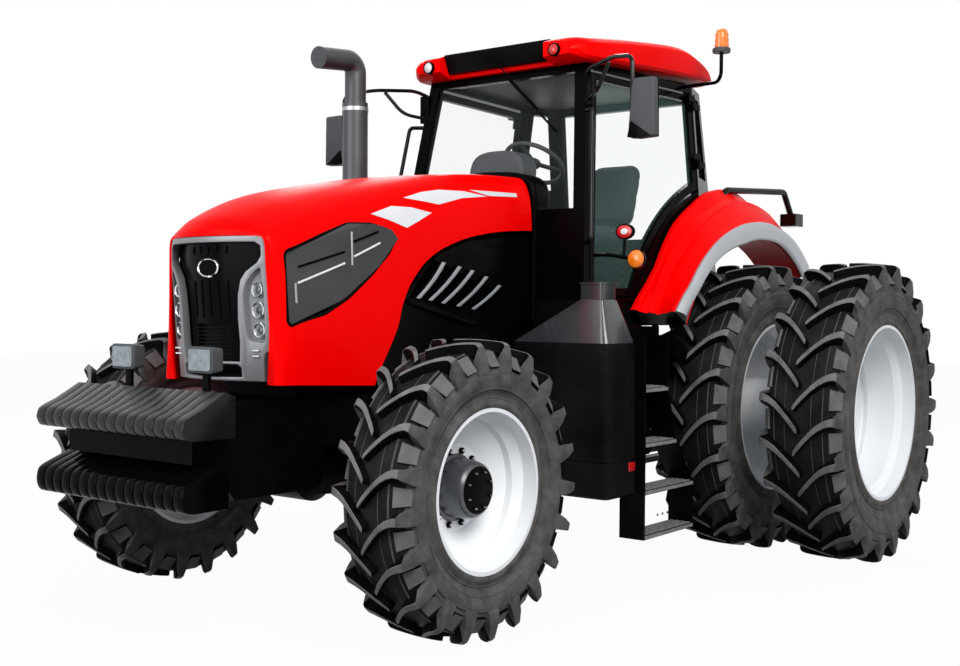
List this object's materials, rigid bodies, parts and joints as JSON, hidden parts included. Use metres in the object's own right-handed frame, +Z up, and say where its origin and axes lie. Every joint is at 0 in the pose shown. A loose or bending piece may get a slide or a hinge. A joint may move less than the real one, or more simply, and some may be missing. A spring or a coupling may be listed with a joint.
{
  "type": "farm tractor",
  "caption": "Farm tractor with a glazed cab, twin rear wheels, steered front wheels, tilting hood, front weights, side ladders and a rear three-point linkage.",
  "frame": {"origin": "on the ground, in the middle of the tractor, lengthways and across", "axes": "+X forward, +Y to the tractor's left, +Z up"},
  "size_m": [5.4599, 4.081, 3.3694],
  "materials": {
    "red_paint": "gloss",
    "silver_paint": "satin",
    "white_paint": "gloss",
    "black_paint": "gloss",
    "black_plastic": "matte",
    "tyre_rubber": "matte",
    "tinted_glass": "clear",
    "lamp_glass": "clear",
    "dark_iron": "painted",
    "bright_steel": "machined",
    "grey_plastic": "matte",
    "seat_fabric": "woven",
    "orange_lens": "gloss"
  },
  "bodies": {
    "chassis": {"beacon": "orange_lens", "cab_base": "black_plastic", "cab_frame": "black_paint", "cab_glass": "tinted_glass", "cowl_arch": "black_paint", "dashboard": "grey_plastic", "drawbar": "dark_iron", "engine_block": "dark_iron", "exhaust": "bright_steel", "fender_left": "red_paint", "fender_lips": "silver_paint", "fender_rails": "black_paint", "fender_right": "red_paint", "front_axle": "dark_iron", "front_frame": "dark_iron", "front_weights": "dark_iron", "fuel_tank": "black_plastic", "gearbox": "dark_iron", "grab_rails": "black_paint", "indicators": "orange_lens", "mirrors": "black_plastic", "rear_axle_housing": "dark_iron", "roof": "red_paint", "roof_lamps": "lamp_glass", "roof_visor": "black_plastic", "seat": "seat_fabric", "side_panels": "black_paint", "side_tank": "black_plastic", "steering_wheel": "grey_plastic", "steps": "dark_iron", "weight_carrier": "dark_iron", "work_lamps": "lamp_glass"},
    "steer_left": {"knuckle_left": "dark_iron"},
    "steer_right": {"knuckle_right": "dark_iron"},
    "front_wheel_left": {"front_hub_left": "black_paint", "front_rim_left": "white_paint", "front_tyre_left": "tyre_rubber"},
    "front_wheel_right": {"front_hub_right": "black_paint", "front_rim_right": "white_paint", "front_tyre_right": "tyre_rubber"},
    "rear_wheels_left": {"rear_hub_left": "dark_iron", "rear_rims_left": "white_paint", "rear_tyres_left": "tyre_rubber"},
    "rear_wheels_right": {"rear_hub_right": "dark_iron", "rear_rims_right": "white_paint", "rear_tyres_right": "tyre_rubber"},
    "door_left": {"door_left": "black_paint", "door_glass_left": "tinted_glass"},
    "door_right": {"door_right": "black_paint", "door_glass_right": "tinted_glass"},
    "hood": {"hood": "red_paint", "hood_mesh": "black_plastic", "grille_surround": "silver_paint", "grille": "black_plastic", "headlamps": "lamp_glass"},
    "tie_rod": {"tie_rod": "dark_iron"},
    "lower_links": {"lower_links": "dark_iron"},
    "lift_arms": {"lift_arms": "dark_iron"},
    "lift_rods": {"lift_rods": "dark_iron"},
    "top_link": {"top_link": "dark_iron"}
  },
  "joints": [
    {"name": "steer_left", "type": "hinge", "parent": "chassis", "child": "steer_left", "pos_m": [1.514, 0.8, 0.705], "axis": [0, 0, 1], "range_deg": [-40, 40]},
    {"name": "steer_right", "type": "hinge", "parent": "chassis", "child": "steer_right", "pos_m": [1.514, -0.8, 0.705], "axis": [0, 0, 1], "range_deg": [-40, 40]},
    {"name": "tie_rod_pin", "type": "hinge", "parent": "steer_left", "child": "tie_rod", "pos_m": [1.284, 0.8, 0.6145], "axis": [0, 0, 1], "range_deg": [-40, 40]},
    {"name": "front_wheel_left_spin", "type": "hinge", "parent": "steer_left", "child": "front_wheel_left", "pos_m": [1.514, 1.06, 0.705], "axis": [0, 1, 0], "continuous": true},
    {"name": "front_wheel_right_spin", "type": "hinge", "parent": "steer_right", "child": "front_wheel_right", "pos_m": [1.514, -1.06, 0.705], "axis": [0, 1, 0], "continuous": true},
    {"name": "rear_wheels_left_spin", "type": "hinge", "parent": "chassis", "child": "rear_wheels_left", "pos_m": [-1.482, 1.092, 0.925], "axis": [0, 1, 0], "continuous": true},
    {"name": "rear_wheels_right_spin", "type": "hinge", "parent": "chassis", "child": "rear_wheels_right", "pos_m": [-1.482, -1.092, 0.925], "axis": [0, 1, 0], "continuous": true},
    {"name": "door_left_hinge", "type": "hinge", "parent": "chassis", "child": "door_left", "pos_m": [-1.342, 0.78534, 2.49], "axis": [0, -0.1124, 0.9937], "range_deg": [0, 60]},
    {"name": "door_right_hinge", "type": "hinge", "parent": "chassis", "child": "door_right", "pos_m": [-1.342, -0.78534, 2.49], "axis": [0, -0.1124, -0.9937], "range_deg": [0, 60]},
    {"name": "hood_hinge", "type": "hinge", "parent": "chassis", "child": "hood", "pos_m": [0.071, 0, 2.32], "axis": [0, -1, 0], "range_deg": [0, 45]},
    {"name": "lower_links_pivot", "type": "hinge", "parent": "chassis", "child": "lower_links", "pos_m": [-1.732, 0.39, 0.6], "axis": [0, 1, 0], "range_deg": [-18, 22]},
    {"name": "lift_arms_pivot", "type": "hinge", "parent": "chassis", "child": "lift_arms", "pos_m": [-1.732, 0.277, 1.26], "axis": [0, 1, 0], "range_deg": [-18, 22]},
    {"name": "lift_rods_pin", "type": "hinge", "parent": "lift_arms", "child": "lift_rods", "pos_m": [-2.232, 0.34, 1.26], "axis": [0, 1, 0], "range_deg": [-22, 18]},
    {"name": "top_link_pin", "type": "hinge", "parent": "chassis", "child": "top_link", "pos_m": [-1.922, 0, 1.01], "axis": [0, 1, 0], "range_deg": [-80, 5]}
  ],
  "couplings": [
    {"joint": "steer_right", "follows": "steer_left", "ratio": 1},
    {"joint": "tie_rod_pin", "follows": "steer_left", "ratio": -1},
    {"joint": "lift_arms_pivot", "follows": "lower_links_pivot", "ratio": 1},
    {"joint": "lift_rods_pin", "follows": "lower_links_pivot", "ratio": -1}
  ]
}
